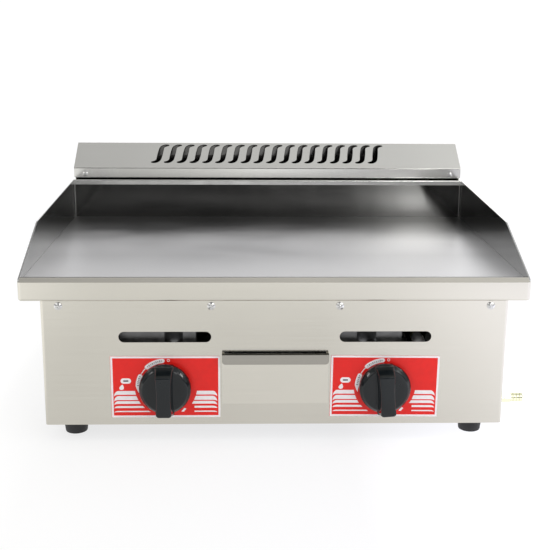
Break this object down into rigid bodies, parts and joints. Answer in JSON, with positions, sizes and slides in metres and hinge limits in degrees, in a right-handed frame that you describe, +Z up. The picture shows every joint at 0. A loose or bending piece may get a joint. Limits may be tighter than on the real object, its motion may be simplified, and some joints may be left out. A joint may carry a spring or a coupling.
{
  "type": "flat top gas griddle",
  "caption": "Countertop gas griddle: steel plate in a stainless tray with splash guards, slotted flue, push-and-turn taps, tube burners and a grease drawer.",
  "frame": {"origin": "on the table, under the middle of the whole griddle", "axes": "+X to the user's right, +Y to the back, +Z up; the controls face -Y"},
  "size_m": [0.5545, 0.4579, 0.28],
  "materials": {
    "stainless_front": "horizontally brushed stainless steel, semi-bright",
    "stainless_tray": "brushed stainless steel of the tray, guards and flue",
    "stainless_inner": "dull stainless steel inside the body",
    "plate_steel": "ground and polished cooking plate",
    "screw_steel": "bright zinc-plated screws",
    "rubber_black": "matt black moulded rubber",
    "label_red": "red print with white border, strokes and dial marks",
    "knob_black": "glossy black moulded plastic",
    "brass": "turned brass",
    "aluminium_tube": "bright aluminium tube",
    "burner_steel": "heat-darkened steel tube",
    "pipe_steel": "zinc-grey steel pipe",
    "spring_steel": "spring steel wire"
  },
  "bodies": {
    "root": {"base_pan": "stainless_inner", "front_panel": "stainless_front", "side_panel_left": "stainless_front", "side_panel_right": "stainless_front", "rear_panel": "stainless_inner", "front_rail": "stainless_inner", "foot_front_left": "rubber_black", "foot_front_right": "rubber_black", "foot_rear_left": "rubber_black", "foot_rear_right": "rubber_black", "foot_screws": "screw_steel", "griddle_plate": "plate_steel", "front_apron": "stainless_front", "grease_gutter": "stainless_inner", "gutter_strip": "stainless_inner", "drain_spout": "stainless_inner", "splash_guard_left": "stainless_tray", "splash_guard_right": "stainless_tray", "splash_back": "stainless_tray", "tray_screws": "screw_steel", "flue_duct": "stainless_tray", "flue_cover": "stainless_tray", "flue_cap_left": "stainless_tray", "flue_cap_right": "stainless_tray", "flue_screws": "screw_steel", "label_left": "label_red", "label_right": "label_red", "heat_baffle_left": "stainless_inner", "heat_baffle_right": "stainless_inner", "gas_manifold": "pipe_steel", "manifold_cap": "pipe_steel", "manifold_brackets": "stainless_inner", "hose_barb": "brass", "valve_body_left": "brass", "valve_body_right": "brass", "feed_tube_left": "aluminium_tube", "feed_tube_right": "aluminium_tube", "jet_left": "brass", "jet_right": "brass", "burner_left": "burner_steel", "burner_right": "burner_steel", "burner_brackets_left": "stainless_inner", "burner_brackets_right": "stainless_inner", "drawer_rails": "stainless_inner"},
    "tap_left": {"valve_plug_left": "brass", "return_spring_left": "spring_steel"},
    "tap_right": {"valve_plug_right": "brass", "return_spring_right": "spring_steel"},
    "knob_left": {"knob_left": "knob_black", "knob_stem_left": "screw_steel"},
    "knob_right": {"knob_right": "knob_black", "knob_stem_right": "screw_steel"},
    "shutter_left": {"air_shutter_left": "stainless_inner"},
    "shutter_right": {"air_shutter_right": "stainless_inner"},
    "drawer": {"drawer_tray": "stainless_inner", "drawer_front": "stainless_front"}
  },
  "joints": [
    {"name": "knob_turn_left", "type": "hinge", "parent": "root", "child": "tap_left", "pos_m": [-0.12, -0.179, 0.0635], "axis": [0, -1, 0], "range_deg": [0, 100]},
    {"name": "knob_press_left", "type": "slide", "parent": "tap_left", "child": "knob_left", "axis": [0, 1, 0], "range_m": [0, 0.004], "stiffness_N_per_m": 1500, "springref_m": -0.003, "deforming": ["return_spring_left"]},
    {"name": "knob_turn_right", "type": "hinge", "parent": "root", "child": "tap_right", "pos_m": [0.12, -0.179, 0.0635], "axis": [0, -1, 0], "range_deg": [0, 100]},
    {"name": "knob_press_right", "type": "slide", "parent": "tap_right", "child": "knob_right", "axis": [0, 1, 0], "range_m": [0, 0.004], "stiffness_N_per_m": 1500, "springref_m": -0.003, "deforming": ["return_spring_right"]},
    {"name": "shutter_turn_left", "type": "hinge", "parent": "root", "child": "shutter_left", "pos_m": [-0.1615, -0.125, 0.106], "axis": [0, 1, 0], "range_deg": [0, 90]},
    {"name": "shutter_turn_right", "type": "hinge", "parent": "root", "child": "shutter_right", "pos_m": [0.1615, -0.125, 0.106], "axis": [0, 1, 0], "range_deg": [0, 90]},
    {"name": "drawer_slide", "type": "slide", "parent": "root", "child": "drawer", "axis": [0, -1, 0], "range_m": [0, 0.22]}
  ]
}
